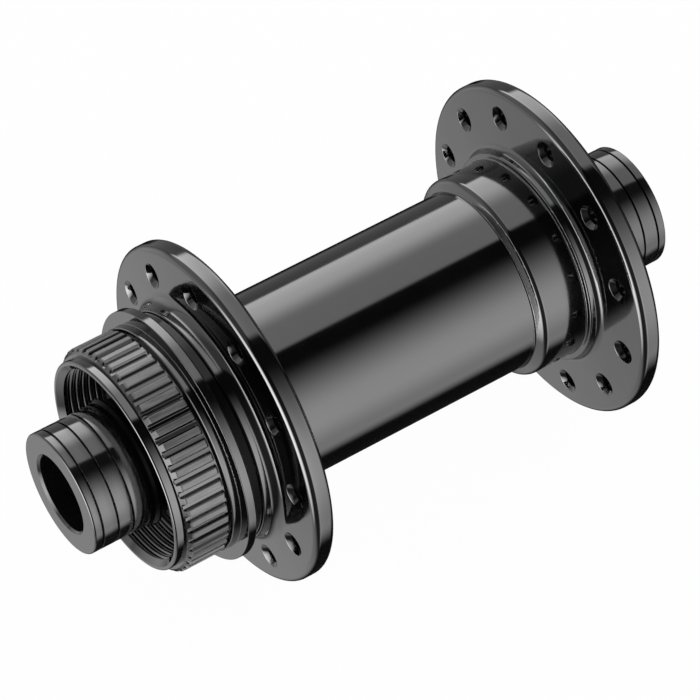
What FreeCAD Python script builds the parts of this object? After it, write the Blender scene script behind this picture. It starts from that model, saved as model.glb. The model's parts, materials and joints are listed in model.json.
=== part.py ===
import FreeCAD
import Part
import math
import os

# Bicycle front hub for a disc brake wheel: 100 mm between the dropouts, 12 mm through axle,
# 24 spokes, and a splined boss that carries the brake rotor.
#
# Frame: the origin is the middle of the axle, +Y runs along the axle to the rotor side,
# +X is forward and +Z is up. Lengths are millimetres. Pieces are placed from the end faces
# inwards, so the names that end in face, seat, start, end or back below the driving sizes are
# distances from the middle. Those of the housing, of the step ring and with plain in the name
# are on the plain side, the others on the rotor side. The place of a coned face is its rim's.

# Width over the end faces and the through axle
over_locknut_width = 100.0
through_axle_d = 12.0

# End caps, pushed over the ends of the axle tube
cap_d = 19.0
cap_length = 9.0
cap_edge_chamfer = 0.3
cap_mouth_chamfer = 0.35
cap_wall_at_end = 5.0
cap_groove_count = 3
cap_groove_first = 1.4
cap_groove_pitch = 2.5
cap_groove_width = 0.3
cap_groove_floor_width = 0.15
cap_groove_depth = 0.25

# Dust collars between the end caps and the bearings
disc_collar_length = 7.0
plain_collar_length = 3.4
collar_length_to_lip = 1.9
collar_front_d = 19.0
collar_lip_d = 19.9
collar_lip_thickness = 0.45
collar_foot_d = 18.0
collar_edge_chamfer = 0.3

# O-rings that hold the end caps on the axle
o_ring_section = 1.0
o_ring_squeeze = 0.1
o_ring_inset = 2.2
o_ring_groove_width = 1.3

# Axle tube
axle_journal_d = 15.0
axle_middle_d = 17.2
axle_end_chamfer = 0.3
sleeve_clearance = 0.02
axle_end_gap = 0.1

# Cartridge bearings, 15 x 28 x 7
bearing_section = 6.5
bearing_width = 7.0
ball_d = 3.5
ball_count = 14
ball_clearance = 0.02
race_groove_depth = 0.4
race_chamfer = 0.3
cage_rim = 0.45
cage_thickness = 1.3
cage_pocket_clearance = 0.07
seal_thickness = 0.6
seal_inset = 0.25
seal_seat_step = 0.5
seal_lip_clearance = 0.05

# Hub shell: barrel and bearing seats
barrel_d = 28.6
barrel_bore_d = 24.6
disc_seat_lead = 0.4
plain_seat_lead = 0.6
shell_mouth_chamfer = 0.35

# Hub shell: rotor stop, spline and the threaded socket for the lockring
rotor_stop_inset = 19.0
rotor_stop_d = 39.4
rotor_stop_thickness = 1.5
rotor_stop_edge_round = 0.45
rotor_pilot_length = 1.3
rotor_pilot_root_round = 0.15
spline_relief_d = 33.8
spline_relief_width = 0.5
spline_d = 35.4
spline_root_d = 34.2
spline_length = 6.75
spline_chamfer = 0.75
spline_tail_chamfer = 0.3
spline_teeth = 52
spline_space_at_tip = 1.25
spline_space_at_root = 0.6
socket_d = 33.0
socket_length = 1.45
socket_bore_d = 30.1
socket_mouth_d = 31.8
socket_mouth_depth = 0.8

# Hub shell: spoke flanges. Their faces towards the rotor side are coned, proud at the root.
flange_d = 53.5
flange_edge_round = 0.95
flange_face_slope = 0.07
rotor_stop_to_flange = 6.7
disc_flange_thickness = 3.3
disc_flange_root_fillet = 1.75
barrel_root_fillet = 3.0
plain_flange_thickness = 3.2
plain_flange_root_fillet = 1.0
plain_boss_d = 32.4
plain_boss_length = 2.1
plain_boss_fillet = 0.9

# Hub shell: spoke holes
spokes_per_flange = 12
spoke_circle_d = 44.6
spoke_hole_d = 2.6
spoke_countersink_d = 3.9
disc_spoke_phase = 18.7
plain_spoke_phase = 3.7

# Hub shell: step between the rotor side flange and the neck
shoulder_d = 36.6
shoulder_length = 3.3
neck_d = 35.0
neck_round = 0.5
small_edge_round = 0.3

# Hub shell: swollen housing over the plain side bearing
housing_d = 31.9
housing_length = 7.5
housing_ramp = 0.6
housing_foot_round = 0.35
housing_crown_round = 0.9
step_ring_d = 34.1
step_ring_length = 2.3
step_ring_root_round = 0.25

# Places along the axle
half_width = over_locknut_width / 2
cap_seat = half_width - cap_length
axle_end = half_width - cap_wall_at_end
disc_bearing_face = cap_seat - disc_collar_length
plain_bearing_face = cap_seat - plain_collar_length
rotor_stop_face = half_width - rotor_stop_inset
rotor_stop_back = rotor_stop_face - rotor_stop_thickness
spline_start = rotor_stop_face + rotor_pilot_length + spline_relief_width
spline_end = spline_start + spline_length
socket_end = spline_end + socket_length
disc_flange_face = rotor_stop_face - rotor_stop_to_flange
disc_flange_back = disc_flange_face - disc_flange_thickness
shoulder_end = disc_flange_face + shoulder_length
plain_shell_end = plain_bearing_face + plain_seat_lead
plain_flange_back = plain_shell_end - plain_boss_length
plain_flange_face = plain_flange_back - plain_flange_thickness
step_ring_start = plain_flange_face - step_ring_length
housing_start = step_ring_start - housing_length

# Radii inside the bearings
bearing_outer_d = axle_journal_d + 2 * bearing_section
pitch_r = (axle_journal_d + bearing_section) / 2
inner_land_r = pitch_r - ball_d / 2 + race_groove_depth
outer_land_r = pitch_r + ball_d / 2 - race_groove_depth

# The caps and collars slide over the axle tube, and everything inside takes the through axle
sleeve_bore_r = axle_journal_d / 2 + sleeve_clearance
through_r = through_axle_d / 2

# Cutters run past the faces they open by this much
cutter_reach = 0.5

ORIGIN = FreeCAD.Vector(0, 0, 0)
AXLE = FreeCAD.Vector(0, 1, 0)


def outline(corners):
    """Face in the plane of the axle from (radius, place along the axle, rounding) corners."""
    points = [FreeCAD.Vector(c[0], c[1], 0) for c in corners]
    rounds = [c[2] if len(c) > 2 else 0.0 for c in corners]
    entries, exits, middles = [], [], []
    for i, corner in enumerate(points):
        to_last = points[i - 1] - corner
        to_next = points[(i + 1) % len(points)] - corner
        to_last.normalize()
        to_next.normalize()
        half_angle = to_last.getAngle(to_next) / 2
        reach = rounds[i] / math.tan(half_angle)
        entries.append(corner + to_last * reach)
        exits.append(corner + to_next * reach)
        inward = to_last + to_next
        inward.normalize()
        middles.append(corner + inward * (rounds[i] / math.sin(half_angle) - rounds[i]))
    edges = []
    for i in range(len(points)):
        if rounds[i] > 0:
            edges.append(Part.Arc(entries[i], middles[i], exits[i]).toShape())
        start = exits[i]
        end = entries[(i + 1) % len(points)]
        if (end - start).Length > 1e-6:
            edges.append(Part.LineSegment(start, end).toShape())
    return Part.Face(Part.Wire(edges))


def turned(corners):
    """Solid of revolution about the axle."""
    return outline(corners).revolve(ORIGIN, AXLE, 360)


def on_plain_side(shape):
    """The same piece on the other side of the hub."""
    return shape.mirror(ORIGIN, AXLE)


def ring_pattern(shape, count, phase=0.0):
    """Copies of a shape, evenly spaced about the axle."""
    copies = []
    for i in range(count):
        copy = shape.copy()
        copy.rotate(ORIGIN, AXLE, -(phase + i * 360.0 / count))
        copies.append(copy)
    return Part.makeCompound(copies)


def cone_rise(diameter):
    """How far a flange's coned face stands proud of its rim at a diameter."""
    return flange_face_slope * (flange_d - diameter) / 2


def shell_profile():
    """Outline of the hub shell, from the threaded socket round to the plain side and back inside."""
    socket_r = socket_d / 2
    spline_r = spline_d / 2
    seat_r = bearing_outer_d / 2
    relief_start = spline_start - spline_relief_width
    shoulder_root = disc_flange_face + cone_rise(shoulder_d)
    step_ring_root = cone_rise(step_ring_d) - plain_flange_face
    rotor_boss = [
        (socket_r, socket_end, small_edge_round),
        (socket_r, spline_end),
        (spline_r - spline_chamfer, spline_end),
        (spline_r, spline_end - spline_chamfer),
        (spline_r, spline_start + spline_tail_chamfer),
        (spline_r - spline_tail_chamfer, spline_start),
        (spline_relief_d / 2, spline_start),
        (spline_relief_d / 2, relief_start),
        (spline_r, relief_start),
        (spline_r, rotor_stop_face, rotor_pilot_root_round),
        (rotor_stop_d / 2, rotor_stop_face, rotor_stop_edge_round),
        (rotor_stop_d / 2, rotor_stop_back, small_edge_round),
        (neck_d / 2, rotor_stop_back, neck_round),
        (neck_d / 2, shoulder_end, neck_round),
        (shoulder_d / 2, shoulder_end, small_edge_round),
    ]
    disc_flange = [
        (shoulder_d / 2, shoulder_root, disc_flange_root_fillet),
        (flange_d / 2, disc_flange_face, flange_edge_round),
        (flange_d / 2, disc_flange_back, flange_edge_round),
        (barrel_d / 2, disc_flange_back, barrel_root_fillet),
    ]
    housing = [
        (barrel_d / 2, housing_ramp - housing_start, housing_foot_round),
        (housing_d / 2, -housing_start, housing_crown_round),
        (housing_d / 2, -step_ring_start, step_ring_root_round),
        (step_ring_d / 2, -step_ring_start, small_edge_round),
    ]
    plain_flange = [
        (step_ring_d / 2, step_ring_root, plain_flange_root_fillet),
        (flange_d / 2, -plain_flange_face, flange_edge_round),
        (flange_d / 2, -plain_flange_back, flange_edge_round),
        (plain_boss_d / 2, -plain_flange_back, plain_boss_fillet),
        (plain_boss_d / 2, -plain_shell_end, small_edge_round),
    ]
    inside = [
        (seat_r + shell_mouth_chamfer, -plain_shell_end),
        (seat_r, shell_mouth_chamfer - plain_shell_end),
        (seat_r, bearing_width - plain_bearing_face),
        (barrel_bore_d / 2, bearing_width - plain_bearing_face),
        (barrel_bore_d / 2, disc_bearing_face - bearing_width),
        (seat_r, disc_bearing_face - bearing_width),
        (seat_r, disc_bearing_face + disc_seat_lead),
        (socket_bore_d / 2, disc_bearing_face + disc_seat_lead),
        (socket_bore_d / 2, socket_end - socket_mouth_depth),
        (socket_mouth_d / 2, socket_end),
    ]
    return rotor_boss + disc_flange + housing + plain_flange + inside


def spline_space():
    """Cutter for the space between two teeth, open at the front and into the relief groove."""
    tip_r = spline_d / 2 + cutter_reach
    flare = (spline_space_at_tip - spline_space_at_root) / (spline_d - spline_root_d)
    tip_half = spline_space_at_tip / 2 + cutter_reach * flare
    root_half = spline_space_at_root / 2
    start = spline_start - spline_relief_width / 2
    corners = [
        FreeCAD.Vector(spline_root_d / 2, start, -root_half),
        FreeCAD.Vector(tip_r, start, -tip_half),
        FreeCAD.Vector(tip_r, start, tip_half),
        FreeCAD.Vector(spline_root_d / 2, start, root_half),
    ]
    face = Part.Face(Part.makePolygon(corners + corners[:1]))
    return face.extrude(AXLE * (spline_end - start))


def spoke_hole(rim_face, thickness):
    """Cutter for one spoke hole, countersunk from both faces of its flange."""
    hole_r = spoke_hole_d / 2
    mouth_r = spoke_countersink_d / 2
    sink = mouth_r - hole_r
    face = rim_face + cone_rise(spoke_circle_d)
    back = rim_face - thickness
    corners = [
        (0, face + cutter_reach),
        (mouth_r + cutter_reach, face + cutter_reach),
        (hole_r, face - sink),
        (hole_r, back + sink),
        (mouth_r + cutter_reach, back - cutter_reach),
        (0, back - cutter_reach),
    ]
    cutter = turned(corners)
    cutter.translate(FreeCAD.Vector(spoke_circle_d / 2, 0, 0))
    return cutter


def hub_shell():
    """One-piece shell: barrel, two spoke flanges, bearing seats and the splined rotor boss."""
    shell = turned(shell_profile())
    shell = shell.cut(ring_pattern(spline_space(), spline_teeth))
    disc_holes = spoke_hole(disc_flange_face, disc_flange_thickness)
    plain_holes = spoke_hole(-plain_flange_face, plain_flange_thickness)
    shell = shell.cut(ring_pattern(disc_holes, spokes_per_flange, disc_spoke_phase))
    return shell.cut(ring_pattern(plain_holes, spokes_per_flange, plain_spoke_phase))


def axle():
    """Axle tube with a journal for a bearing, a collar and an end cap on each side."""
    journal_r = axle_journal_d / 2
    disc_shoulder = disc_bearing_face - bearing_width
    plain_shoulder = plain_bearing_face - bearing_width
    end = axle_end - axle_end_gap
    return turned([
        (through_r, end),
        (journal_r - axle_end_chamfer, end),
        (journal_r, end - axle_end_chamfer),
        (journal_r, disc_shoulder),
        (axle_middle_d / 2, disc_shoulder),
        (axle_middle_d / 2, -plain_shoulder),
        (journal_r, -plain_shoulder),
        (journal_r, axle_end_chamfer - end),
        (journal_r - axle_end_chamfer, -end),
        (through_r, -end),
    ])


def end_cap():
    """Rotor side end cap: a turned sleeve with decorative grooves and an O-ring groove inside."""
    cap_r = cap_d / 2
    groove_middle = cap_seat + o_ring_inset
    groove_half = o_ring_groove_width / 2
    groove_r = axle_journal_d / 2 + o_ring_section - o_ring_squeeze
    corners = [
        (through_r + cap_mouth_chamfer, half_width),
        (cap_r - cap_edge_chamfer, half_width),
        (cap_r, half_width - cap_edge_chamfer),
    ]
    for i in range(cap_groove_count):
        middle = half_width - cap_groove_first - i * cap_groove_pitch
        corners.append((cap_r, middle + cap_groove_width / 2))
        corners.append((cap_r - cap_groove_depth, middle + cap_groove_floor_width / 2))
        corners.append((cap_r - cap_groove_depth, middle - cap_groove_floor_width / 2))
        corners.append((cap_r, middle - cap_groove_width / 2))
    corners += [
        (cap_r, cap_seat + cap_edge_chamfer),
        (cap_r - cap_edge_chamfer, cap_seat),
        (sleeve_bore_r, cap_seat),
        (sleeve_bore_r, groove_middle - groove_half),
        (groove_r, groove_middle - groove_half),
        (groove_r, groove_middle + groove_half),
        (sleeve_bore_r, groove_middle + groove_half),
        (sleeve_bore_r, axle_end),
        (through_r, axle_end),
        (through_r, half_width - cap_mouth_chamfer),
    ]
    return turned(corners)


def o_ring():
    """Rubber ring squeezed between the axle and the groove in the rotor side end cap."""
    section_r = (o_ring_section - o_ring_squeeze) / 2
    centre_r = axle_journal_d / 2 + section_r
    return Part.makeTorus(centre_r, section_r, AXLE * (cap_seat + o_ring_inset), AXLE)


def dust_collar(length):
    """Spacer between a bearing's inner race and its end cap, flared to a lip that sheds water."""
    lip_back = cap_seat - collar_length_to_lip
    front_r = collar_front_d / 2
    lip_r = collar_lip_d / 2
    foot = cap_seat - length
    return turned([
        (sleeve_bore_r, cap_seat),
        (front_r - collar_edge_chamfer, cap_seat),
        (front_r, cap_seat - collar_edge_chamfer),
        (front_r, lip_back + collar_lip_thickness + (lip_r - front_r)),
        (lip_r, lip_back + collar_lip_thickness),
        (lip_r, lip_back),
        (collar_foot_d / 2, lip_back),
        (collar_foot_d / 2, foot),
        (sleeve_bore_r, foot),
    ])


def outer_race():
    """Outer race, centred on the bearing's middle, with a ball track and two steps for the seals."""
    outer_r = bearing_outer_d / 2
    half = bearing_width / 2
    seat_r = outer_land_r + seal_seat_step
    seat = half - seal_inset - seal_thickness
    body = turned([
        (outer_r - race_chamfer, half),
        (outer_r, half - race_chamfer),
        (outer_r, race_chamfer - half),
        (outer_r - race_chamfer, -half),
        (seat_r, -half),
        (seat_r, -seat),
        (outer_land_r, -seat),
        (outer_land_r, seat),
        (seat_r, seat),
        (seat_r, half),
    ])
    return body.cut(ball_track())


def inner_race():
    """Inner race, centred on the bearing's middle, with a ball track."""
    journal_r = axle_journal_d / 2
    half = bearing_width / 2
    body = turned([
        (journal_r + race_chamfer, half),
        (inner_land_r, half),
        (inner_land_r, -half),
        (journal_r + race_chamfer, -half),
        (journal_r, race_chamfer - half),
        (journal_r, half - race_chamfer),
    ])
    return body.cut(ball_track())


def ball_track():
    """Ring swept by the balls with their running clearance, which both races are ground to."""
    return Part.makeTorus(pitch_r, ball_d / 2 + ball_clearance, ORIGIN, AXLE)


def balls():
    """The balls of one bearing."""
    ball = Part.makeSphere(ball_d / 2)
    ball.translate(FreeCAD.Vector(pitch_r, 0, 0))
    return ring_pattern(ball, ball_count)


def cage():
    """Ball cage: a ring with one round pocket for each ball."""
    half = ball_d / 2 + cage_rim
    inner_r = pitch_r - cage_thickness / 2
    outer_r = pitch_r + cage_thickness / 2
    ring = turned([(inner_r, half), (outer_r, half), (outer_r, -half), (inner_r, -half)])
    pocket_r = ball_d / 2 + cage_pocket_clearance
    pocket = Part.makeCylinder(
        pocket_r,
        cage_thickness + 2 * cutter_reach,
        FreeCAD.Vector(inner_r - cutter_reach, 0, 0),
        FreeCAD.Vector(1, 0, 0),
    )
    return ring.cut(ring_pattern(pocket, ball_count))


def seal():
    """Seal on the outward face of a bearing, held by the outer race, its lip just clear inside."""
    outer = bearing_width / 2 - seal_inset
    inner = outer - seal_thickness
    rim_r = outer_land_r + seal_seat_step
    lip_r = inner_land_r + seal_lip_clearance
    return turned([(lip_r, outer), (rim_r, outer), (rim_r, inner), (lip_r, inner)])


def bearing(middle):
    """Pieces of one cartridge bearing with its middle at a place along the axle."""
    outward = seal()
    inward = on_plain_side(seal())
    pieces = {
        "outer_race": outer_race(),
        "inner_race": inner_race(),
        "balls": balls(),
        "cage": cage(),
        "outer_seal": outward if middle > 0 else inward,
        "inner_seal": inward if middle > 0 else outward,
    }
    for piece in pieces.values():
        piece.translate(AXLE * middle)
    return pieces


def all_pieces():
    """Every piece of the hub under the name of its node."""
    pieces = {
        "hub_shell": hub_shell(),
        "axle": axle(),
        "end_cap_disc_side": end_cap(),
        "end_cap_plain_side": on_plain_side(end_cap()),
        "o_ring_disc_side": o_ring(),
        "o_ring_plain_side": on_plain_side(o_ring()),
        "dust_collar_disc_side": dust_collar(disc_collar_length),
        "dust_collar_plain_side": on_plain_side(dust_collar(plain_collar_length)),
    }
    for name, piece in bearing(disc_bearing_face - bearing_width / 2).items():
        pieces[name + "_disc_side"] = piece
    for name, piece in bearing(bearing_width / 2 - plain_bearing_face).items():
        pieces[name + "_plain_side"] = piece
    return pieces


os.makedirs("parts", exist_ok=True)
for node, shape in all_pieces().items():
    box = shape.BoundBox
    print(
        f"{node:26s} valid {shape.isValid()} solids {len(shape.Solids)} volume {shape.Volume:10.2f}"
        f" y {box.YMin:7.2f} {box.YMax:7.2f} r {box.XMax:6.2f}"
    )
    shape.exportStep(f"parts/{node}.step")
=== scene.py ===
import json
import logging
import math
from dataclasses import dataclass
from enum import Enum
from typing import Optional, Sequence, Union

import bmesh
import bpy
from mathutils import Matrix, Vector


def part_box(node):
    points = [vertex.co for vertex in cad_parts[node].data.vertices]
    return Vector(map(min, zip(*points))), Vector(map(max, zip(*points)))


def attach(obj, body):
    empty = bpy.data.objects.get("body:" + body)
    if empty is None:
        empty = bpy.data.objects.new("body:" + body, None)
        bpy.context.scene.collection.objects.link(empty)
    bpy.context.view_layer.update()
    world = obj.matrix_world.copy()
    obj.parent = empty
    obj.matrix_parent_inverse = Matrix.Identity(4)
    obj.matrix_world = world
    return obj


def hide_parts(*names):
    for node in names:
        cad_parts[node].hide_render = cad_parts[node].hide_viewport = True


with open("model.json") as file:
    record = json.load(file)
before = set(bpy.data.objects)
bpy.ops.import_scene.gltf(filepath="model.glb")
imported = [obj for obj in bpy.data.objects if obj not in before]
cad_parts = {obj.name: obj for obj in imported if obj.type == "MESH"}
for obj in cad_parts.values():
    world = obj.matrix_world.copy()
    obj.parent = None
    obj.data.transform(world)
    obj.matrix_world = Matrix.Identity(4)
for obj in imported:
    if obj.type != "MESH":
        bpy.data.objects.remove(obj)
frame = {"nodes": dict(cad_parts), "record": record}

# Looks of a bicycle front hub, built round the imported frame. +Y runs along the axle to the rotor
# side, +X is forward and +Z is up. The classes hold millimetres, and a finished piece is metres.

log = logging.getLogger("front_hub")

MM = 0.001
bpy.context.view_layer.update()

# Points round a turned piece, five for each of the 52 teeth, and the widest step along an arc
ROUND_POINTS = 260
ARC_STEP = math.radians(13.0)
CREASE_ANGLE = math.radians(32.0)
FLAT_FACES_LEAD = 80
WELD = 0.0015

# The values between which a noise is spread out, and the size of the grain in every finish
NOISE_RANGE = (0.3, 0.7)
GRAIN_SIZE = 0.25
GRAIN_DETAIL = 4.0
GRAIN_SHARE = 0.3
MARK_WANDER_SIZE = 3.0
MARK_WANDER = 4.0


class Side(Enum):
    """The two ends of the hub."""

    DISC = "disc_side"
    PLAIN = "plain_side"

    @property
    def direction(self) -> int:
        """1 towards the rotor side, -1 towards the plain side."""
        return 1 if self is Side.DISC else -1


class Body(Enum):
    """The bodies of the frame."""

    AXLE = "axle_group"
    SHELL = "shell_group"


@dataclass(frozen=True)
class Corner:
    """A corner of a turned outline."""

    radius: float
    place: float
    rounding: float = 0.0


@dataclass(frozen=True)
class Face:
    """An end face, flat or coned.

    Attributes:
        rim: The place along the axle of its rim.
        slope: How far it rises towards the rotor side for each millimetre inwards.
        radius: The radius of its rim.
    """

    rim: float
    slope: float = 0.0
    radius: float = 0.0

    def place(self, radius: float) -> float:
        """The place along the axle at a radius."""
        return self.rim + self.slope * (self.radius - radius)


def rounded(corners: Sequence[Corner], closed: bool = False) -> list[Vector]:
    """Draws an outline with its corners rounded.

    Args:
        corners: The corners in order.
        closed: Whether the last corner joins the first.

    Returns:
        Points with the radius as x and the place along the axle as y.
    """
    points = [Vector((c.radius, c.place)) for c in corners]
    drawn: list[Vector] = []
    for i, corner in enumerate(corners):
        at_end = not closed and i in (0, len(corners) - 1)
        if corner.rounding == 0 or at_end:
            drawn.append(points[i])
            continue
        to_last = (points[i - 1] - points[i]).normalized()
        to_next = (points[(i + 1) % len(points)] - points[i]).normalized()
        half = to_last.angle(to_next) / 2
        reach = corner.rounding / math.tan(half)
        middle = points[i] + (to_last + to_next).normalized() * (corner.rounding / math.sin(half))
        first_arm = points[i] + to_last * reach - middle
        last_arm = points[i] + to_next * reach - middle
        turn = math.pi - 2 * half
        steps = max(3, math.ceil(turn / ARC_STEP))
        for step in range(steps + 1):
            share = step / steps
            first_part = math.sin((1 - share) * turn) / math.sin(turn)
            last_part = math.sin(share * turn) / math.sin(turn)
            drawn.append(middle + first_arm * first_part + last_arm * last_part)
    return drawn


class Draft:
    """A mesh in the making, in millimetres."""

    def __init__(self) -> None:
        """Starts with nothing."""
        self.mesh = bmesh.new()

    def ring(self, radii: Union[float, Sequence[float]], place: float, count: int = ROUND_POINTS) -> list:
        """Adds points round the axle.

        Args:
            radii: One radius, or one for each point.
            place: The place along the axle.
            count: How many points stand round.

        Returns:
            The points in order.
        """
        points = []
        for i in range(count):
            radius = radii if isinstance(radii, float) else radii[i]
            angle = 2 * math.pi * i / count
            points.append(self.mesh.verts.new((radius * math.cos(angle), place, radius * math.sin(angle))))
        return points

    def skin(self, first: list, second: list, wraps: bool = True) -> None:
        """Adds four-sided faces between two rows with equally many points."""
        for i in range(len(first) if wraps else len(first) - 1):
            after = (i + 1) % len(first)
            self.mesh.faces.new((first[i], first[after], second[after], second[i]))

    def turn(self, corners: Sequence[Corner], closed: bool = False, count: int = ROUND_POINTS) -> None:
        """Turns an outline about the axle."""
        rings = [self.ring(p.x, p.y, count) for p in rounded(corners, closed)]
        for i in range(len(rings) if closed else len(rings) - 1):
            self.skin(rings[i], rings[(i + 1) % len(rings)])

    def add(self, mesh: bpy.types.Mesh) -> None:
        """Adds a mesh that is in millimetres, and deletes it."""
        self.mesh.from_mesh(mesh)
        bpy.data.meshes.remove(mesh)

    def weld(self) -> None:
        """Joins points that coincide."""
        bmesh.ops.remove_doubles(self.mesh, verts=self.mesh.verts, dist=WELD)

    def fill(self, face: Face) -> None:
        """Fills an open end face, leaving the holes in it open."""
        edges = [
            e
            for e in self.mesh.edges
            if e.is_boundary and all(abs(v.co.y - face.place(math.hypot(v.co.x, v.co.z))) < WELD for v in e.verts)
        ]
        bmesh.ops.triangle_fill(self.mesh, use_beauty=True, edges=edges)

    def crease(self) -> None:
        """Marks every edge sharper than the crease angle, so that it isn't shaded as round."""
        bmesh.ops.recalc_face_normals(self.mesh, faces=self.mesh.faces)
        for edge in self.mesh.edges:
            edge.smooth = edge.calc_face_angle(0.0) < CREASE_ANGLE

    def crease_ring(self, radius: float, place: float) -> None:
        """Marks the ring of edges at one radius and place as sharp."""
        for edge in self.mesh.edges:
            ends = [(math.hypot(v.co.x, v.co.z), v.co.y) for v in edge.verts]
            if all(abs(r - radius) < WELD and abs(y - place) < WELD for r, y in ends):
                edge.smooth = False

    def finished(self, name: str) -> bpy.types.Mesh:
        """Turns the draft into a smooth mesh in metres.

        Args:
            name: The mesh's name.

        Returns:
            The mesh, with its faces outwards and its normals led by its large faces.
        """
        bmesh.ops.recalc_face_normals(self.mesh, faces=self.mesh.faces)
        for face in self.mesh.faces:
            face.smooth = True
        self.mesh.transform(Matrix.Scale(MM, 4))
        mesh = bpy.data.meshes.new(name)
        self.mesh.to_mesh(mesh)
        self.mesh.free()
        carrier = bpy.data.objects.new(name, mesh)
        bpy.context.scene.collection.objects.link(carrier)
        normals = carrier.modifiers.new("normals", "WEIGHTED_NORMAL")
        normals.keep_sharp = True
        normals.weight = FLAT_FACES_LEAD
        return plain_mesh(carrier)

    def raw(self, name: str) -> bpy.types.Mesh:
        """Turns the draft into a mesh that is still in millimetres."""
        mesh = bpy.data.meshes.new(name)
        self.mesh.to_mesh(mesh)
        self.mesh.free()
        return mesh


def plain_mesh(carrier: bpy.types.Object) -> bpy.types.Mesh:
    """Reads an object's mesh with its modifiers applied, and deletes the object.

    Args:
        carrier: The object that carries the mesh and its modifiers.

    Returns:
        The resulting mesh.
    """
    depsgraph = bpy.context.evaluated_depsgraph_get()
    mesh = bpy.data.meshes.new_from_object(
        carrier.evaluated_get(depsgraph), preserve_all_data_layers=True, depsgraph=depsgraph
    )
    old = carrier.data
    carrier.modifiers.clear()
    bpy.data.objects.remove(carrier)
    bpy.data.meshes.remove(old)
    return mesh


class RingPattern:
    """Geometry Nodes tree that sets copies of a mesh evenly about the axle."""

    def __init__(self) -> None:
        """Builds the tree."""
        self.tree = bpy.data.node_groups.new("ring pattern", "GeometryNodeTree")
        self.sockets: dict[str, str] = {}
        self.add_input("Geometry", "NodeSocketGeometry")
        self.add_input("Count", "NodeSocketInt")
        self.add_input("Phase", "NodeSocketFloat")
        self.add_input("Weld", "NodeSocketFloat")
        self.add_input("Material", "NodeSocketMaterial")
        self.tree.interface.new_socket("Geometry", in_out="OUTPUT", socket_type="NodeSocketGeometry")
        self.wire()

    def add_input(self, name: str, kind: str) -> None:
        """Adds a named input and keeps its identifier."""
        socket = self.tree.interface.new_socket(name, in_out="INPUT", socket_type=kind)
        self.sockets[name] = socket.identifier

    def wire(self) -> None:
        """Adds the nodes and links them."""
        nodes, link = self.tree.nodes, self.tree.links.new
        given = nodes.new("NodeGroupInput")
        points = nodes.new("GeometryNodePoints")
        link(given.outputs["Count"], points.inputs["Count"])
        one = nodes.new("GeometryNodeGeometryToInstance")
        link(given.outputs["Geometry"], one.inputs[0])
        share = self.math("DIVIDE", 2 * math.pi, given.outputs["Count"])
        index = nodes.new("GeometryNodeInputIndex")
        turned = self.math("MULTIPLY", index.outputs[0], share)
        angle = self.math("ADD", turned, given.outputs["Phase"])
        backwards = self.math("MULTIPLY", angle, -1.0)
        rotation = nodes.new("FunctionNodeAxisAngleToRotation")
        rotation.inputs["Axis"].default_value = (0, 1, 0)
        link(backwards, rotation.inputs["Angle"])
        copies = nodes.new("GeometryNodeInstanceOnPoints")
        link(points.outputs[0], copies.inputs["Points"])
        link(one.outputs[0], copies.inputs["Instance"])
        link(rotation.outputs[0], copies.inputs["Rotation"])
        welded = nodes.new("GeometryNodeMergeByDistance")
        real = nodes.new("GeometryNodeRealizeInstances")
        finish = nodes.new("GeometryNodeSetMaterial")
        result = nodes.new("NodeGroupOutput")
        link(copies.outputs[0], real.inputs[0])
        link(real.outputs[0], welded.inputs["Geometry"])
        link(given.outputs["Weld"], welded.inputs["Distance"])
        link(welded.outputs[0], finish.inputs["Geometry"])
        link(given.outputs["Material"], finish.inputs["Material"])
        link(finish.outputs[0], result.inputs[0])

    def math(self, operation: str, first: object, second: object) -> bpy.types.NodeSocket:
        """Adds a sum on two sockets or numbers and returns its result."""
        node = self.tree.nodes.new("ShaderNodeMath")
        node.operation = operation
        for socket, value in zip(node.inputs, (first, second)):
            if isinstance(value, bpy.types.NodeSocket):
                self.tree.links.new(value, socket)
            else:
                socket.default_value = value
        return node.outputs[0]

    def apply(self, one: bpy.types.Mesh, count: int, phase: float, material: bpy.types.Material) -> bpy.types.Mesh:
        """Repeats a mesh about the axle.

        Args:
            one: The mesh to repeat, in millimetres.
            count: How many copies stand round.
            phase: The first copy's angle in degrees, from +X towards +Z.
            material: The finish of the copies.

        Returns:
            A plain mesh of all the copies, joined where they meet.
        """
        carrier = bpy.data.objects.new(one.name, one)
        bpy.context.scene.collection.objects.link(carrier)
        pattern = carrier.modifiers.new("ring pattern", "NODES")
        pattern.node_group = self.tree
        pattern[self.sockets["Count"]] = count
        pattern[self.sockets["Phase"]] = math.radians(phase)
        pattern[self.sockets["Weld"]] = WELD
        pattern[self.sockets["Material"]] = material
        return plain_mesh(carrier)


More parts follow.
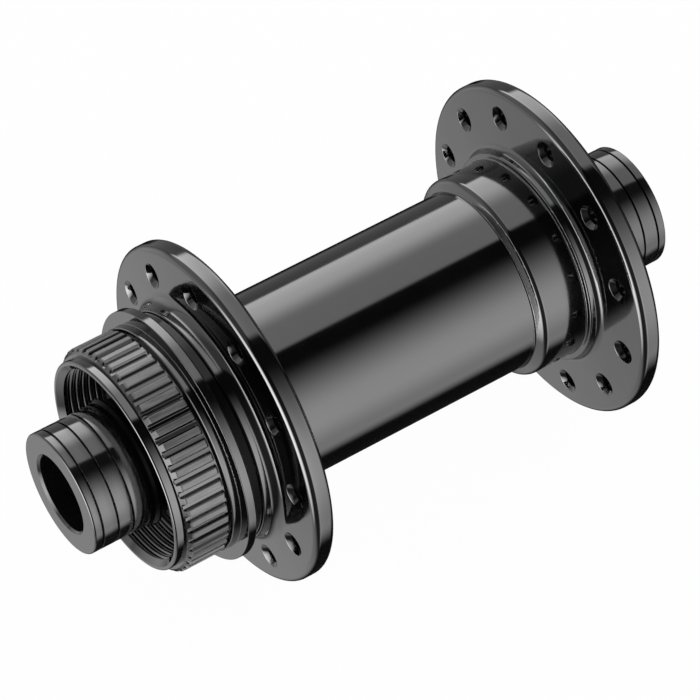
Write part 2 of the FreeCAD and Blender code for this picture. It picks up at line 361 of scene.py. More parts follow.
class NodeSheet:
    """Short calls for wiring a shader."""

    def __init__(self, tree: bpy.types.NodeTree) -> None:
        """Clears the tree."""
        self.tree = tree
        tree.nodes.clear()

    def node(self, kind: str, **settings: object) -> bpy.types.Node:
        """Adds a node with its settings."""
        made = self.tree.nodes.new(kind)
        for name, value in settings.items():
            setattr(made, name, value)
        return made

    def feed(self, socket: bpy.types.NodeSocket, value: object) -> None:
        """Links a socket to another, or sets its number."""
        if isinstance(value, bpy.types.NodeSocket):
            self.tree.links.new(value, socket)
        else:
            socket.default_value = value

    def math(self, operation: str, *values: object) -> bpy.types.NodeSocket:
        """Adds a sum and returns its result."""
        made = self.node("ShaderNodeMath", operation=operation)
        for socket, value in zip(made.inputs, values):
            self.feed(socket, value)
        return made.outputs[0]

    def spread(
        self, value: object, low: float, high: float, to_low: object, to_high: object, smooth: bool = False
    ) -> bpy.types.NodeSocket:
        """Maps a value from one range to another, held at both ends.

        Args:
            value: The socket to read.
            low: The value that gives to_low.
            high: The value that gives to_high.
            to_low: A number or a socket.
            to_high: A number or a socket.
            smooth: Whether it eases in and out.

        Returns:
            The mapped value.
        """
        made = self.node("ShaderNodeMapRange", interpolation_type="SMOOTHSTEP" if smooth else "LINEAR")
        names = ("Value", "From Min", "From Max", "To Min", "To Max")
        for name, number in zip(names, (value, low, high, to_low, to_high)):
            self.feed(made.inputs[name], number)
        return made.outputs["Result"]

    def place(self) -> bpy.types.NodeSocket:
        """Adds the Object coordinates."""
        return self.node("ShaderNodeTexCoord").outputs["Object"]

    def noise(self, scale: float, detail: float = 3.0, drawn_out: float = 1.0) -> bpy.types.NodeSocket:
        """Adds a noise on Object coordinates, which may be drawn out along the axle, and returns its value."""
        drawn = self.node("ShaderNodeVectorMath", operation="DIVIDE")
        self.feed(drawn.inputs[0], self.place())
        self.feed(drawn.inputs[1], (1.0, drawn_out, 1.0))
        made = self.node("ShaderNodeTexNoise")
        self.feed(made.inputs["Vector"], drawn.outputs[0])
        self.feed(made.inputs["Scale"], scale)
        self.feed(made.inputs["Detail"], detail)
        return made.outputs["Fac"]

    def mix(self, share: object, first: object, second: object) -> bpy.types.NodeSocket:
        """Mixes two colours."""
        made = self.node("ShaderNodeMix", data_type="RGBA")
        for number, value in zip((0, 6, 7), (share, first, second)):
            self.feed(made.inputs[number], value)
        return made.outputs[2]


@dataclass(frozen=True)
class SatinBand:
    """A band of a surface that is left satin, with streaks along the axle.

    Attributes:
        low: The place along the axle in millimetres at which it starts.
        high: The place at which it ends.
        radius: The radius in millimetres above which it reaches its full share.
        shades: The two greys of its streaks.
        roughness: Its roughness.
        radius_fade: The height in millimetres over which it comes in.
        end_fade: Half the length over which it starts and ends.
        streak: The width of its streaks in millimetres.
        streak_stretch: How many times longer than wide they are.
        streak_range: The values between which their noise is spread out.
    """

    low: float
    high: float
    radius: float
    shades: tuple[float, float]
    roughness: float
    radius_fade: float = 0.15
    end_fade: float = 0.02
    streak: float = 0.3
    streak_stretch: float = 12.0
    streak_range: tuple[float, float] = (0.35, 0.65)

    def share(self, sheet: NodeSheet) -> bpy.types.NodeSocket:
        """Wires how much of the band shows at a point, from 0 to 1."""
        parts = sheet.node("ShaderNodeSeparateXYZ")
        sheet.feed(parts.inputs[0], sheet.place())
        along = parts.outputs["Y"]
        squares = [sheet.math("MULTIPLY", parts.outputs[name], parts.outputs[name]) for name in "XZ"]
        radius = sheet.math("SQRT", sheet.math("ADD", *squares))
        within = sheet.spread(radius, (self.radius - self.radius_fade) * MM, self.radius * MM, 0.0, 1.0)
        for place, low, high in ((self.low, 0.0, 1.0), (self.high, 1.0, 0.0)):
            edge = sheet.spread(along, (place - self.end_fade) * MM, (place + self.end_fade) * MM, low, high)
            within = sheet.math("MULTIPLY", within, edge)
        return within

    def shade(self, sheet: NodeSheet) -> bpy.types.NodeSocket:
        """Wires the grey of its streaks."""
        streaks = sheet.noise(1 / (self.streak * MM), 2.0, drawn_out=self.streak_stretch)
        return sheet.spread(streaks, *self.streak_range, *self.shades)


@dataclass(frozen=True)
class Finish:
    """A surface finish with patches of two shades, uneven gloss and fine marks.

    Attributes:
        slot: The record's material slot.
        shades: The two colours between which the surface wanders.
        roughness: The least and most roughness.
        metallic: 1 for bare metal, 0 for oxide, rubber and plastic.
        ior: The index that sets how much a dark surface mirrors.
        patch: The size of the patches in millimetres.
        mark_pitch: The distance between turning marks in millimetres, 0 for none.
        mark_height: The height of the marks or the grain in millimetres.
        band: A band of the surface that is satin, if there is one.
    """

    slot: str
    shades: tuple[tuple[float, float, float], tuple[float, float, float]]
    roughness: tuple[float, float]
    metallic: float = 0.0
    ior: float = 1.5
    patch: float = 6.0
    mark_pitch: float = 0.0
    mark_height: float = 0.001
    band: Optional[SatinBand] = None

    def material(self) -> bpy.types.Material:
        """Builds the finish as a node material."""
        made = bpy.data.materials.new(self.slot)
        made.use_nodes = True
        sheet = NodeSheet(made.node_tree)
        shader = sheet.node("ShaderNodeBsdfPrincipled")
        output = sheet.node("ShaderNodeOutputMaterial")
        patches = sheet.noise(1 / (self.patch * MM))
        cloud = sheet.spread(patches, *NOISE_RANGE, 0.0, 1.0)
        colour = sheet.mix(cloud, (*self.shades[0], 1), (*self.shades[1], 1))
        roughness = sheet.spread(patches, *NOISE_RANGE, *self.roughness)
        if self.band:
            share = self.band.share(sheet)
            colour = sheet.mix(share, colour, self.band.shade(sheet))
            roughness = sheet.spread(share, 0.0, 1.0, roughness, self.band.roughness)
        sheet.feed(shader.inputs["Base Color"], colour)
        sheet.feed(shader.inputs["Roughness"], roughness)
        shader.inputs["Metallic"].default_value = self.metallic
        shader.inputs["IOR"].default_value = self.ior
        bump = sheet.node("ShaderNodeBump")
        bump.inputs["Strength"].default_value = 1.0
        bump.inputs["Distance"].default_value = self.mark_height * MM
        sheet.feed(bump.inputs["Height"], self.marks(sheet))
        sheet.feed(shader.inputs["Normal"], bump.outputs["Normal"])
        sheet.feed(output.inputs["Surface"], shader.outputs["BSDF"])
        return made

    def marks(self, sheet: NodeSheet) -> bpy.types.NodeSocket:
        """Wires the height of the turning marks, or of the grain where there are none."""
        grain = sheet.noise(1 / (GRAIN_SIZE * MM), GRAIN_DETAIL)
        if self.mark_pitch == 0:
            return grain
        parts = sheet.node("ShaderNodeSeparateXYZ")
        sheet.feed(parts.inputs[0], sheet.place())
        turns = sheet.math("MULTIPLY", parts.outputs["Y"], 2 * math.pi / (self.mark_pitch * MM))
        uneven = sheet.math("MULTIPLY", sheet.noise(1 / (MARK_WANDER_SIZE * MM), 2.0), MARK_WANDER)
        wave = sheet.math("SINE", sheet.math("ADD", turns, uneven))
        return sheet.math("ADD", wave, sheet.math("MULTIPLY", grain, GRAIN_SHARE))


TEETH = SatinBand(low=32.8, high=39.5, radius=17.6, shades=(0.04, 0.1), roughness=0.36)
SHELL_BLACK = Finish(
    "shell_black",
    shades=((0.001, 0.001, 0.0012), (0.002, 0.002, 0.0022)),
    roughness=(0.07, 0.1),
    ior=1.8,
    mark_pitch=0.35,
    mark_height=0.00004,
    band=TEETH,
)
CAP_BLACK = Finish(
    "cap_black",
    shades=((0.003, 0.003, 0.0032), (0.006, 0.006, 0.0062)),
    roughness=(0.08, 0.12),
    ior=1.7,
    mark_pitch=0.16,
    mark_height=0.0002,
)
COLLAR_BLACK = Finish(
    "collar_black",
    shades=((0.001, 0.001, 0.001), (0.002, 0.002, 0.002)),
    roughness=(0.12, 0.2),
    ior=1.1,
    mark_pitch=0.2,
    mark_height=0.0004,
)
AXLE_BLACK = Finish(
    "axle_black",
    shades=((0.006, 0.006, 0.0065), (0.012, 0.012, 0.0125)),
    roughness=(0.25, 0.35),
    ior=1.7,
    mark_pitch=0.2,
    mark_height=0.0006,
)
BEARING_STEEL = Finish(
    "bearing_steel",
    shades=((0.2, 0.2, 0.205), (0.26, 0.26, 0.265)),
    roughness=(0.25, 0.34),
    metallic=1.0,
    mark_pitch=0.12,
    mark_height=0.0003,
)
BALL_STEEL = Finish(
    "ball_steel",
    shades=((0.72, 0.72, 0.74), (0.8, 0.8, 0.82)),
    roughness=(0.04, 0.07),
    metallic=1.0,
    mark_height=0.00003,
)
CAGE_PLASTIC = Finish(
    "cage_plastic",
    shades=((0.66, 0.61, 0.49), (0.74, 0.69, 0.57)),
    roughness=(0.45, 0.6),
    patch=2.0,
    mark_height=0.004,
)
SEAL_RUBBER = Finish(
    "seal_rubber",
    shades=((0.012, 0.012, 0.012), (0.02, 0.02, 0.02)),
    roughness=(0.55, 0.7),
    patch=2.0,
    mark_height=0.006,
)
BLACKS = (SHELL_BLACK, CAP_BLACK, COLLAR_BLACK, AXLE_BLACK)
FINISHES = (*BLACKS, BEARING_STEEL, BALL_STEEL, CAGE_PLASTIC, SEAL_RUBBER)


@dataclass(frozen=True)
class Span:
    """Where a CAD node lies, in millimetres."""

    radius: float
    low: float
    high: float

    @classmethod
    def of(cls, node: str) -> "Span":
        """Measures a node in the frame."""
        low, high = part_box(node)
        return cls(high.x / MM, low.y / MM, high.y / MM)


class Workshop:
    """Keeps the materials, dresses the carried-over nodes and sets finished pieces on their bodies."""

    def __init__(self) -> None:
        """Makes every finish and the ring pattern."""
        self.materials = {finish.slot: finish.material() for finish in FINISHES}
        self.pattern = RingPattern()

    def repeat(self, one: bpy.types.Mesh, count: int, phase: float, finish: Finish) -> bpy.types.Mesh:
        """Repeats a mesh about the axle."""
        return self.pattern.apply(one, count, phase, self.materials[finish.slot])

    def set_on(self, node: str, mesh: bpy.types.Mesh, finish: Finish, body: Body) -> None:
        """Sets a finished mesh in the place of a CAD node.

        Args:
            node: The node that the piece stands for.
            mesh: The piece's mesh, in metres and in place.
            finish: The piece's finish.
            body: The body that it moves with.
        """
        piece = bpy.data.objects.new(node + "_finished", mesh)
        bpy.context.scene.collection.objects.link(piece)
        mesh.materials.clear()
        mesh.materials.append(self.materials[finish.slot])
        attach(piece, body.value)
        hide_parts(node)
        log.info("%s: %d faces on %s", piece.name, len(mesh.polygons), body.value)

    def dress_carried_nodes(self) -> None:
        """Gives each CAD node the finish of its slot in the record."""
        slots = {part["node"]: part["material_slot"] for part in frame["record"]["subparts"]}
        for name, node in frame["nodes"].items():
            node.data.materials.clear()
            node.data.materials.append(self.materials[slots[name]])


@dataclass
class HubShell:
    """The shell: barrel, spoke flanges, bearing seats, splined boss and threaded socket."""

    socket_r: float = 16.5
    socket_end: float = 41.0
    mouth_r: float = 15.9
    mouth_depth: float = 0.8
    socket_edge_round: float = 0.3
    spline_end: float = 39.55
    spline_start: float = 32.8
    spline_r: float = 17.7
    spline_root_r: float = 17.1
    spline_chamfer: float = 0.75
    spline_tail: float = 0.3
    spline_teeth: int = 52
    spline_end_round: float = 0.2
    space_at_tip: float = 1.25
    space_at_root: float = 0.6
    tooth_tip_round: float = 0.1
    tooth_root_round: float = 0.12
    chamfer_rows: int = 8
    chamfer_least_drop: float = 0.1
    relief_r: float = 16.9
    relief_start: float = 32.3
    pilot_edge_round: float = 0.12
    stop_face: float = 31.0
    stop_back: float = 29.5
    stop_r: float = 19.7
    stop_front_round: float = 0.12
    stop_back_round: float = 0.3
    neck_back_r: float = 17.84
    neck_front_r: float = 17.15
    neck_back_round: float = 0.2
    neck_front_round: float = 0.5
    shoulder_r: float = 18.3
    shoulder_end: float = 27.6
    shoulder_round: float = 0.3
    disc_face: float = 24.3
    disc_back: float = 21.0
    disc_root: float = 1.75
    plain_face: float = -32.9
    plain_back: float = -36.1
    plain_root: float = 1.0
    flange_r: float = 26.75
    flange_round: float = 0.95
    face_slope: float = 0.07
    barrel_r: float = 14.3
    barrel_root: float = 3.0
    barrel_bore_r: float = 12.3
    housing_r: float = 15.95
    housing_foot: float = -22.5
    housing_start: float = -23.1
    housing_foot_round: float = 0.35
    housing_crown_round: float = 0.9
    ring_r: float = 17.05
    ring_front_r: float = 16.85
    ring_start: float = -30.6
    ring_root_round: float = 0.25
    ring_edge_round: float = 0.3
    plain_boss_r: float = 16.2
    plain_boss_root: float = 0.9
    seat_mouth_chamfer: float = 0.35
    hole_circle_r: float = 22.3
    holes_per_flange: int = 12
    hole_r: float = 1.3
    countersink_r: float = 1.95
    hole_edge_round: float = 0.15
    hole_points: int = 36
    disc_hole_phase: float = 18.7
    plain_hole_phase: float = 3.7
    thread_r: float = 15.05
    thread_start: float = 34.4
    thread_depth: float = 0.5
    thread_pitch: float = 1.05
    thread_runout: float = 0.5
    thread_rows_per_turn: int = 18

    def stretches(self, seat_r: float, disc_seat: Span, plain_seat: Span) -> list[list[Corner]]:
        """Outline of the shell in stretches that end at its flat faces, at the teeth and at the thread.

        Args:
            seat_r: Radius of the bearing seats.
            disc_seat: Span of the rotor side bearing.
            plain_seat: Span of the plain side bearing.

        Returns:
            The corners of each stretch.
        """
        mouth = [
            Corner(self.thread_r, self.socket_end - self.mouth_depth),
            Corner(self.mouth_r, self.socket_end),
            Corner(self.socket_r, self.socket_end, self.socket_edge_round),
            Corner(self.socket_r, self.spline_end),
        ]
        stop = [
            Corner(self.spline_r - self.pilot_edge_round, self.relief_start),
            Corner(self.spline_r, self.relief_start - self.pilot_edge_round),
            Corner(self.spline_r, self.stop_face, self.pilot_edge_round),
            Corner(self.stop_r, self.stop_face, self.stop_front_round),
            Corner(self.stop_r, self.stop_back, self.stop_back_round),
            Corner(self.neck_front_r, self.stop_back, self.neck_front_round),
            Corner(self.neck_back_r, self.shoulder_end, self.neck_back_round),
            Corner(self.shoulder_r, self.shoulder_end, self.shoulder_round),
            self.on_cone(self.disc_face, self.shoulder_r, self.disc_root),
            self.on_cone(self.disc_face, self.shoulder_r + self.disc_root),
        ]
        barrel = [
            Corner(self.barrel_r + self.barrel_root, self.disc_back),
            Corner(self.barrel_r, self.disc_back, self.barrel_root),
            Corner(self.barrel_r, self.housing_foot, self.housing_foot_round),
            Corner(self.housing_r, self.housing_start, self.housing_crown_round),
            Corner(self.housing_r, self.ring_start, self.ring_root_round),
            Corner(self.ring_front_r, self.ring_start, self.ring_edge_round),
            self.on_cone(self.plain_face, self.ring_r, self.plain_root),
            self.on_cone(self.plain_face, self.ring_r + self.plain_root),
        ]
        inside = [
            Corner(self.plain_boss_r + self.plain_boss_root, self.plain_back),
            Corner(self.plain_boss_r, self.plain_back, self.plain_boss_root),
            Corner(self.plain_boss_r, self.plain_end, self.ring_edge_round),
            Corner(seat_r + self.seat_mouth_chamfer, self.plain_end),
            Corner(seat_r, self.plain_end + self.seat_mouth_chamfer),
            Corner(seat_r, plain_seat.high),
            Corner(self.barrel_bore_r, plain_seat.high),
            Corner(self.barrel_bore_r, disc_seat.low),
            Corner(seat_r, disc_seat.low),
            Corner(seat_r, self.thread_start),
            Corner(self.thread_r, self.thread_start),
        ]
        rims = [self.rim(self.disc_face, self.disc_back), self.rim(self.plain_face, self.plain_back)]
        return [mouth, stop, barrel, inside, *rims]

    @property
    def plain_end(self) -> float:
        """The end face on the plain side, read from the frame."""
        return Span.of("hub_shell").low

    def cone(self, face: float) -> Face:
        """The coned face of a flange whose rim is at a place."""
        return Face(face, self.face_slope, self.flange_r)

    def on_cone(self, face: float, radius: float, rounding: float = 0.0) -> Corner:
        """A corner on a flange's coned face."""
        return Corner(radius, self.cone(face).place(radius), rounding)

    def rim(self, face: float, back: float) -> list[Corner]:
        """Outline of a flange's rim."""
        flat_r = self.flange_r - self.flange_round
        return [
            self.on_cone(face, flat_r),
            Corner(self.flange_r, face, self.flange_round),
            Corner(self.flange_r, back, self.flange_round),
            Corner(flat_r, back),
        ]

    def tooth_space(self) -> bpy.types.Mesh:
        """The space between two teeth with half a tooth on each side, from the relief groove to the front."""
        half_pitch = math.pi * self.spline_r / self.spline_teeth
        corners = [
            Corner(0.0, self.spline_root_r),
            Corner(self.space_at_root / 2, self.spline_root_r, self.tooth_root_round),
            Corner(self.space_at_tip / 2, self.spline_r, self.tooth_tip_round),
            Corner(half_pitch, self.spline_r),
        ]
        half = [(p.x / self.spline_r, p.y) for p in rounded(corners)]
        profile = [(-angle, radius) for angle, radius in reversed(half[1:])] + half
        draft = Draft()
        relief = [(place, self.relief_r) for place in (self.spline_start, self.relief_start)]
        rows = []
        for place, limit in self.spline_limits() + relief:
            row = []
            for angle, radius in profile:
                held = min(radius, limit)
                row.append(draft.mesh.verts.new((held * math.cos(angle), place, held * math.sin(angle))))
            rows.append(row)
        for first, second in zip(rows, rows[1:]):
            draft.skin(first, second, wraps=False)
        return draft.raw("tooth_space")

    def spline_limits(self) -> list[tuple[float, float]]:
        """Places along the teeth from the front, each with the radius that the chamfers leave there."""
        corners = [
            Corner(self.spline_r - self.spline_chamfer, self.spline_end),
            Corner(self.spline_r, self.spline_end - self.spline_chamfer, self.spline_end_round),
            Corner(self.spline_r, self.spline_start + self.spline_tail, self.spline_end_round),
            Corner(self.spline_r - self.spline_tail, self.spline_start),
        ]
        line = rounded(corners)
        limits = []
        for first, second in zip(line, line[1:]):
            sloping = abs(first.x - second.x) > self.chamfer_least_drop
            steps = self.chamfer_rows if sloping else 1
            limits += [tuple(first.lerp(second, step / steps).yx) for step in range(steps)]
        return limits + [tuple(line[-1].yx)]

    def spoke_hole(self, rim_face: float, back: float) -> bpy.types.Mesh:
        """One spoke hole, countersunk and eased at both faces of its flange."""
        cone = self.cone(rim_face)
        face = cone.place(self.hole_circle_r)
        sink = self.countersink_r - self.hole_r
        ease = self.hole_edge_round
        corners = [
            Corner(self.countersink_r + 1.5 * ease, face),
            Corner(self.countersink_r, face, ease),
            Corner(self.hole_r, face - sink, ease),
            Corner(self.hole_r, back + sink, ease),
            Corner(self.countersink_r, back, ease),
            Corner(self.countersink_r + 1.5 * ease, back),
        ]
        draft = Draft()
        draft.turn(corners, count=self.hole_points)
        draft.mesh.transform(Matrix.Translation((self.hole_circle_r, 0, 0)))
        for vert in draft.mesh.verts:
            share = max(0.0, (vert.co.y - face + sink) / sink)
            lean = cone.place(math.hypot(vert.co.x, vert.co.z)) - face
            vert.co.y += share * lean
        return draft.raw("spoke_hole")

    def thread(self) -> bpy.types.Mesh:
        """Wall of the socket with the turns of the lockring thread, fading out at both ends."""
        end = self.socket_end - self.mouth_depth
        rows = round((end - self.thread_start) / self.thread_pitch * self.thread_rows_per_turn)
        draft = Draft()
        last = None
        for row in range(rows + 1):
            place = self.thread_start + (end - self.thread_start) * row / rows
            fade = min(1.0, (place - self.thread_start) / self.thread_runout, (end - place) / self.thread_runout)
            radii = []
            for i in range(ROUND_POINTS):
                turn = place / self.thread_pitch + i / ROUND_POINTS
                groove = 0.5 - 0.5 * math.cos(2 * math.pi * turn)
                radii.append(self.thread_r + self.thread_depth * fade * groove)
            ring = draft.ring(radii, place)
            if last:
                draft.skin(last, ring)
            last = ring
        return draft.raw("thread")

    def build(self, shop: Workshop) -> None:
        """Builds the shell and sets it on its body."""
        disc_seat = Span.of("outer_race_disc_side")
        plain_seat = Span.of("outer_race_plain_side")
        draft = Draft()
        for corners in self.stretches(disc_seat.radius, disc_seat, plain_seat):
            draft.turn(corners)
        draft.add(shop.repeat(self.tooth_space(), self.spline_teeth, 0.0, SHELL_BLACK))
        for face, back, phase in (
            (self.disc_face, self.disc_back, self.disc_hole_phase),
            (self.plain_face, self.plain_back, self.plain_hole_phase),
        ):
            hole = self.spoke_hole(face, back)
            draft.add(shop.repeat(hole, self.holes_per_flange, phase, SHELL_BLACK))
        draft.weld()
        flats = [Face(place) for place in (self.spline_end, self.relief_start, self.disc_back, self.plain_back)]
        for face in [*flats, self.cone(self.disc_face), self.cone(self.plain_face)]:
            draft.fill(face)
        draft.crease()
        draft.add(self.thread())
        draft.weld()
        draft.crease_ring(self.thread_r, self.thread_start)
        draft.crease_ring(self.thread_r, self.socket_end - self.mouth_depth)
        shop.set_on("hub_shell", draft.finished("hub_shell_finished"), SHELL_BLACK, Body.SHELL)


@dataclass
class EndCap:
    """A turned end cap with three fine grooves."""

    side: Side
    bore_r: float = 6.0
    sleeve_r: float = 7.52
    wall: float = 5.0
    edge_round: float = 0.3
    mouth_chamfer: float = 0.35
    groove_first: float = 1.4
    groove_pitch: float = 2.5
    groove_count: int = 3
    groove_width: float = 0.3
    groove_floor: float = 0.22
    groove_depth: float = 0.45
    groove_edge_round: float = 0.04
    ring_inset: float = 2.2
    ring_width: float = 1.3
    ring_r: float = 8.4

    def corners(self, radius: float, seat: float, end: float) -> list[Corner]:
        """Outline of the rotor side cap.

        Args:
            radius: The cap's outer radius.
            seat: The place of its inner end.
            end: The place of its end face.

        Returns:
            The corners in order.
        """
        found = [
            Corner(self.bore_r + self.mouth_chamfer, end),
            Corner(radius, end, self.edge_round),
        ]
        for i in range(self.groove_count):
            middle = end - self.groove_first - i * self.groove_pitch
            floor_r = radius - self.groove_depth
            found += [
                Corner(radius, middle + self.groove_width / 2, self.groove_edge_round),
                Corner(floor_r, middle + self.groove_floor / 2),
                Corner(floor_r, middle - self.groove_floor / 2),
                Corner(radius, middle - self.groove_width / 2, self.groove_edge_round),
            ]
        ring_middle = seat + self.ring_inset
        found += [
            Corner(radius, seat, self.edge_round),
            Corner(self.sleeve_r, seat),
            Corner(self.sleeve_r, ring_middle - self.ring_width / 2),
            Corner(self.ring_r, ring_middle - self.ring_width / 2),
            Corner(self.ring_r, ring_middle + self.ring_width / 2),
            Corner(self.sleeve_r, ring_middle + self.ring_width / 2),
            Corner(self.sleeve_r, end - self.wall),
            Corner(self.bore_r, end - self.wall),
            Corner(self.bore_r, end - self.mouth_chamfer),
        ]
        return found

    def build(self, shop: Workshop) -> None:
        """Builds the cap and sets it on its body."""
        node = "end_cap_" + self.side.value
        span = Span.of("end_cap_" + Side.DISC.value)
        draft = Draft()
        draft.turn(self.corners(span.radius, span.low, span.high), closed=True)
        mirror(draft, self.side)
        draft.weld()
        draft.crease()
        shop.set_on(node, draft.finished(node + "_finished"), CAP_BLACK, Body.AXLE)


@dataclass
class DustCollar:
    """The flared black ring between a bearing and its end cap."""

    side: Side
    bore_r: float = 7.52
    front_r: float = 9.5
    front_round: float = 0.3
    lip_inset: float = 1.9
    lip_thickness: float = 0.45
    lip_round: float = 0.1
    flare_round: float = 0.15
    foot_r: float = 9.0

    def build(self, shop: Workshop) -> None:
        """Builds the collar and sets it on its body."""
        node = "dust_collar_" + self.side.value
        span = Span.of(node)
        seat = max(abs(span.low), abs(span.high))
        foot = min(abs(span.low), abs(span.high))
        lip_back = seat - self.lip_inset
        flare = span.radius - self.front_r
        draft = Draft()
        corners = [
            Corner(self.bore_r, seat),
            Corner(self.front_r, seat, self.front_round),
            Corner(self.front_r, lip_back + self.lip_thickness + flare, self.flare_round),
            Corner(span.radius, lip_back + self.lip_thickness, self.lip_round),
            Corner(span.radius, lip_back, self.lip_round),
            Corner(self.foot_r, lip_back),
            Corner(self.foot_r, foot),
            Corner(self.bore_r, foot),
        ]
        draft.turn(corners, closed=True)
        mirror(draft, self.side)
        draft.weld()
        draft.crease()
        shop.set_on(node, draft.finished(node + "_finished"), COLLAR_BLACK, Body.AXLE)


def mirror(draft: Draft, side: Side) -> None:
    """Moves a rotor side draft to its side of the hub."""
    draft.mesh.transform(Matrix.Diagonal((1, side.direction, 1, 1)))


@dataclass(frozen=True)
class Panel:
    """A strip of light far off, along the axle.

    Attributes:
        start: The angle about the axle at which it starts, in degrees from +X towards +Z.
        end: The angle at which it ends.
        rise: The width in degrees over which its start fades in.
        fall: The width in degrees over which its end fades out.
        strength: Its brightness, where white is 1.
        ahead: How much of that is left on the rotor side of the hub's middle.
    """

    start: float
    end: float
    rise: float
    fall: float
    strength: float
    ahead: float


@dataclass
class Studio:
    """Pale floor, soft light, camera and the panels that the black metal mirrors.

    Attributes:
        panels: The strips of light.
        beside: The parts along the axle between which the strips fade up, going forward to back, and how
            much brighter they get.
        ahead: The parts between which they fade to each strip's share.
        behind: The parts between which they fade out towards the plain side, and what is left of them.
        surround: The brightness of the dark room.
        end_light: The brightness of the light off the rotor side's end, at its middle.
        end_light_direction: Where its middle is.
        end_light_edge: The cosine of its reach.
        ground: The brightness of the ground that is mirrored.
        ground_up: The heights between which it comes in.
        ground_forward: The parts forward between which it comes in.
        ground_along: The parts along the axle between which it comes in.
        daylight: The brightness of the world to matt surfaces.
        floor_size: The length of the floor in metres.
        floor_tints: The greys of the floor.
        floor_white: How white the floor is to the camera; the rest shows the shadow.
        lens: The focal length in millimetres.
        sensor: The width of the sensor.
        clip_start: The nearest that the camera sees, in metres.
        aim: The point that it looks at, in metres.
        distance: How far it stands from that point.
        azimuth: Its bearing in degrees.
        elevation: Its height in degrees.
    """

    panels: tuple[Panel, ...] = (
        Panel(-28.0, 11.0, 10.0, 5.0, 0.25, 0.5),
        Panel(11.0, 93.0, 5.0, 5.0, 1.25, 0.2),
        Panel(11.0, 50.0, 5.0, 28.0, 1.65, 0.2),
        Panel(145.0, 238.0, 66.0, 20.0, 1.35, 0.04),
        Panel(145.0, 208.0, 66.0, 40.0, 1.3, 0.04),
    )
    beside: tuple[float, float, float] = (-0.36, -0.3, 1.3)
    ahead: tuple[float, float] = (-0.16, 0.06)
    behind: tuple[float, float, float] = (-0.72, -0.85, 0.12)
    surround: float = 0.015
    end_light: float = 9.0
    end_light_direction: tuple[float, float, float] = (0.0, 0.98, -0.2)
    end_light_edge: float = 0.8
    ground: float = 0.85
    ground_up: tuple[float, float] = (0.3, -0.1)
    ground_forward: tuple[float, float] = (-0.55, -0.1)
    ground_along: tuple[float, float] = (-0.15, 0.35)
    daylight: float = 1.0
    floor_size: float = 6.0
    floor_tints: tuple[float, float] = (0.78, 0.82)
    floor_white: float = 0.975
    lens: float = 201.795
    sensor: float = 36.0
    clip_start: float = 0.01
    aim: tuple[float, float, float] = (-0.00025, 0.0007, -0.0005)
    distance: float = 0.57258
    azimuth: float = 235.92
    elevation: float = 49.19

    def build(self) -> None:
        """Builds the world, the floor and the camera."""
        scene = bpy.context.scene
        scene.view_settings.view_transform = "Standard"
        scene.world = self.world()
        self.floor(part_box("hub_shell")[0].z)
        scene.camera = self.camera()

    def world(self) -> bpy.types.World:
        """White to the camera, even to matt surfaces, and lights in a dark room to mirroring ones."""
        world = bpy.data.worlds.new("studio")
        world.use_nodes = True
        sheet = NodeSheet(world.node_tree)
        ray = sheet.node("ShaderNodeLightPath")
        mirrored = self.mirrored(sheet)
        even = sheet.mix(ray.outputs["Is Glossy Ray"], (self.daylight,) * 3 + (1,), mirrored)
        colour = sheet.mix(ray.outputs["Is Camera Ray"], even, (1, 1, 1, 1))
        light = sheet.node("ShaderNodeBackground")
        output = sheet.node("ShaderNodeOutputWorld")
        sheet.feed(light.inputs["Color"], colour)
        sheet.feed(output.inputs["Surface"], light.outputs[0])
        return world

    def mirrored(self, sheet: NodeSheet) -> bpy.types.NodeSocket:
        """Wires what the black metal mirrors.

        The strips shine from the plain side of the hub's middle, where every surface turned along the
        axle shows them to the camera. Ahead of them it is dark, but for the light off the rotor side's
        end and the pale ground.

        Args:
            sheet: The world's shader.

        Returns:
            The brightness.
        """
        place = sheet.node("ShaderNodeTexCoord").outputs["Generated"]
        parts = sheet.node("ShaderNodeSeparateXYZ")
        sheet.feed(parts.inputs[0], place)
        forward, along, up = (parts.outputs[name] for name in "XYZ")
        angle = sheet.math("ARCTAN2", up, forward)
        glow = self.surround
        for panel in self.panels:
            glow = sheet.math("ADD", glow, self.panel_light(sheet, angle, along, panel))
        toward = sheet.node("ShaderNodeVectorMath", operation="DOT_PRODUCT")
        sheet.feed(toward.inputs[0], place)
        sheet.feed(toward.inputs[1], self.end_light_direction)
        end = sheet.spread(toward.outputs["Value"], self.end_light_edge, 1.0, 0.0, self.end_light)
        ground = sheet.spread(up, *self.ground_up, 0.0, self.ground, smooth=True)
        for direction, reach in ((forward, self.ground_forward), (along, self.ground_along)):
            ground = sheet.math("MULTIPLY", ground, sheet.spread(direction, *reach, 0.0, 1.0, smooth=True))
        return sheet.math("ADD", sheet.math("ADD", glow, end), ground)

    def panel_light(
        self, sheet: NodeSheet, angle: bpy.types.NodeSocket, along: bpy.types.NodeSocket, panel: Panel
    ) -> bpy.types.NodeSocket:
        """Wires one strip's brightness.

        Args:
            sheet: The world's shader.
            angle: The direction's angle about the axle.
            along: The direction's part along the axle.
            panel: The strip.

        Returns:
            The brightness.
        """
        middle = math.radians((panel.start + panel.end) / 2)
        half = math.radians((panel.end - panel.start) / 2)
        off = sheet.math("WRAP", sheet.math("SUBTRACT", angle, middle), math.pi, -math.pi)
        rise, fall = math.radians(panel.rise / 2), math.radians(panel.fall / 2)
        light = sheet.spread(off, -half - rise, rise - half, 0.0, panel.strength, smooth=True)
        shares = [sheet.spread(off, half - fall, half + fall, 1.0, 0.0, smooth=True)]
        for start, end, left in (self.beside, (*self.ahead, panel.ahead), self.behind):
            shares.append(sheet.spread(along, start, end, 1.0, left, smooth=True))
        for share in shares:
            light = sheet.math("MULTIPLY", light, share)
        return light

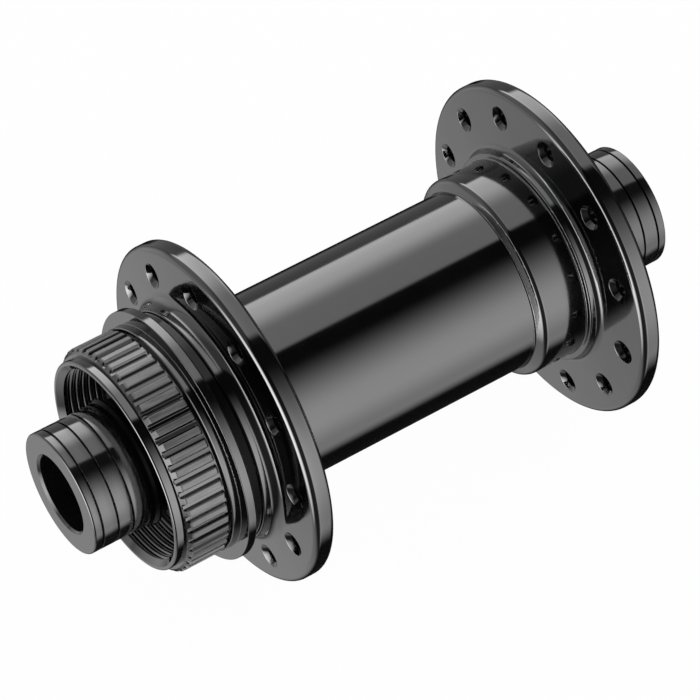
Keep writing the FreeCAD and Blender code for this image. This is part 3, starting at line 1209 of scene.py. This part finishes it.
    def floor(self, height: float) -> None:
        """Lays the pale floor under the flanges."""
        half = self.floor_size / 2
        mesh = bpy.data.meshes.new("floor")
        corners = [(-half, -half, height), (half, -half, height), (half, half, height), (-half, half, height)]
        mesh.from_pydata(corners, [], [(0, 1, 2, 3)])
        floor = bpy.data.objects.new("floor", mesh)
        bpy.context.scene.collection.objects.link(floor)
        made = bpy.data.materials.new("floor_white")
        made.use_nodes = True
        sheet = NodeSheet(made.node_tree)
        matt = sheet.node("ShaderNodeBsdfDiffuse")
        tint = sheet.spread(sheet.noise(4.0), *NOISE_RANGE, *self.floor_tints)
        sheet.feed(matt.inputs["Color"], tint)
        white = sheet.node("ShaderNodeEmission")
        ray = sheet.node("ShaderNodeLightPath")
        seen = sheet.math("MULTIPLY", ray.outputs["Is Camera Ray"], self.floor_white)
        clear = sheet.node("ShaderNodeBsdfTransparent")
        output = sheet.node("ShaderNodeOutputMaterial")
        surface = matt.outputs[0]
        for share, other in ((seen, white), (ray.outputs["Is Glossy Ray"], clear)):
            either = sheet.node("ShaderNodeMixShader")
            sheet.feed(either.inputs[0], share)
            sheet.feed(either.inputs[1], surface)
            sheet.feed(either.inputs[2], other.outputs[0])
            surface = either.outputs[0]
        sheet.feed(output.inputs["Surface"], surface)
        mesh.materials.append(made)

    def camera(self) -> bpy.types.Object:
        """Sets the camera at the photograph's viewing angle."""
        lens = bpy.data.cameras.new("camera")
        lens.lens = self.lens
        lens.sensor_width = self.sensor
        lens.clip_start = self.clip_start
        camera = bpy.data.objects.new("camera", lens)
        bpy.context.scene.collection.objects.link(camera)
        turn, lift = math.radians(self.azimuth), math.radians(self.elevation)
        back = Vector((math.sin(turn) * math.cos(lift), -math.cos(turn) * math.cos(lift), math.sin(lift)))
        camera.location = Vector(self.aim) + back * self.distance
        camera.rotation_euler = (-back).to_track_quat("-Z", "Y").to_euler()
        return camera


def main() -> None:
    """Builds and dresses the hub, then the studio round it."""
    logging.basicConfig(level=logging.INFO)
    shop = Workshop()
    shop.dress_carried_nodes()
    HubShell().build(shop)
    for side in Side:
        EndCap(side).build(shop)
        DustCollar(side).build(shop)
    Studio().build()


if __name__ == "__main__":
    main()
